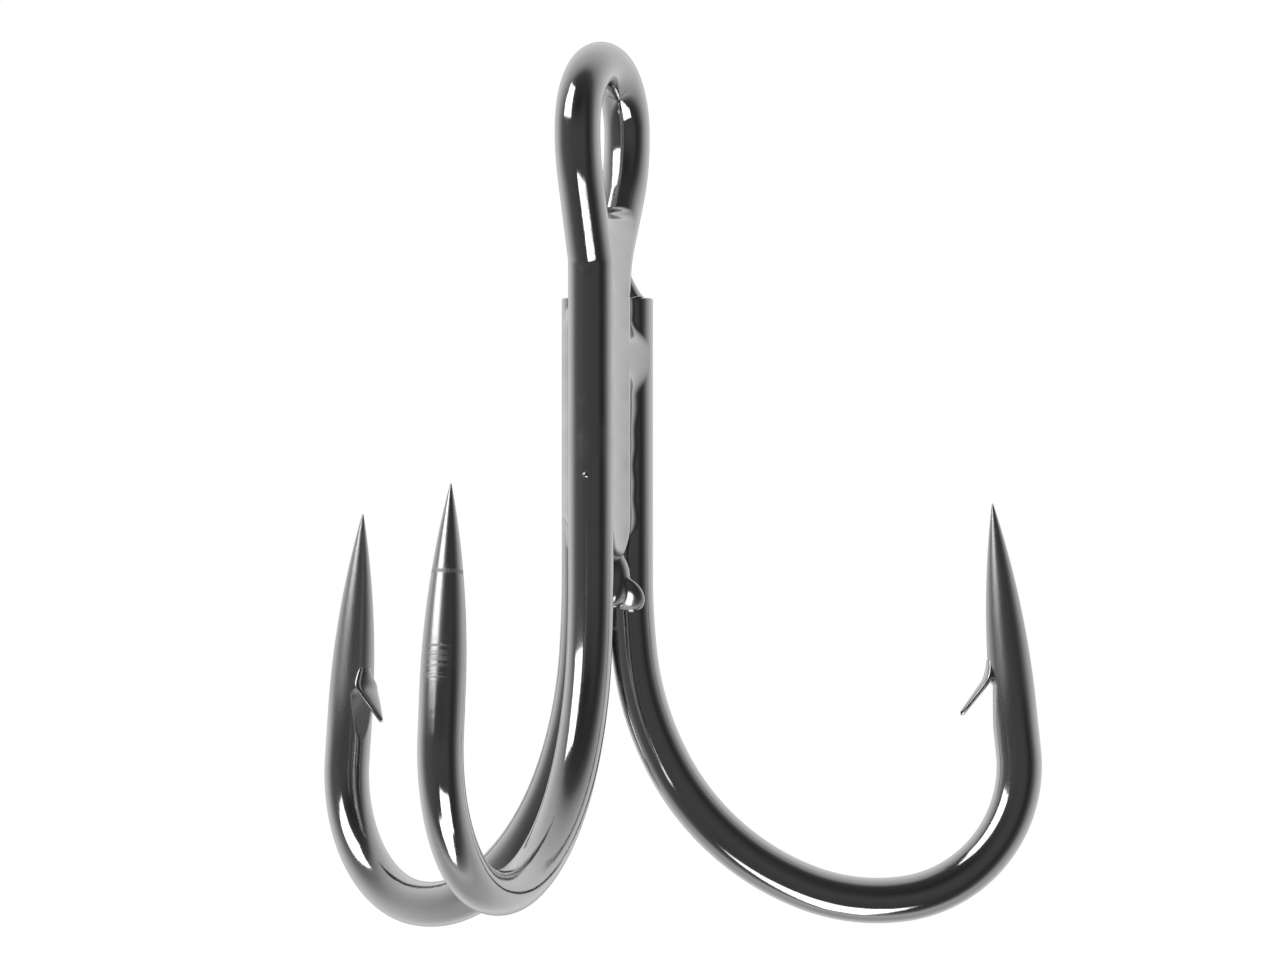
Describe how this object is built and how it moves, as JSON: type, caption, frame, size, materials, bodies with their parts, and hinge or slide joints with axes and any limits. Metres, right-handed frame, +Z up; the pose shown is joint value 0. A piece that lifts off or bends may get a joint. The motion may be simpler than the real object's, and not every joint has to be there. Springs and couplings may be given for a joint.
{
  "type": "treble hook",
  "caption": "Treble fishing hook: an eyed wire and plain hooks brazed into one bundle, round bends, barbed needle points, dark nickel plating.",
  "frame": {"origin": "where the axis of the eye wire's return leg meets the plane on which the three bends stand", "axes": "+Z up along the shanks to the eye, -Y from the shank towards the point of the hook that carries the eye, +X to the side of the right hook"},
  "size_m": [0.0273, 0.0253, 0.031],
  "materials": {
    "plated_wire": "dark nickel plate over hardened steel wire, mirror bright",
    "plated_braze": "the same dark nickel plate over braze metal, slightly softer"
  },
  "bodies": {
    "root": {"eye_hook": "plated_wire", "right_hook": "plated_wire", "left_hook": "plated_wire", "braze_core": "plated_braze", "braze_right_bead": "plated_braze", "braze_left_bead": "plated_braze", "braze_rear_bead": "plated_braze", "braze_front_right_bead": "plated_braze", "braze_front_left_bead": "plated_braze", "braze_eye_web": "plated_braze"}
  },
  "joints": []
}
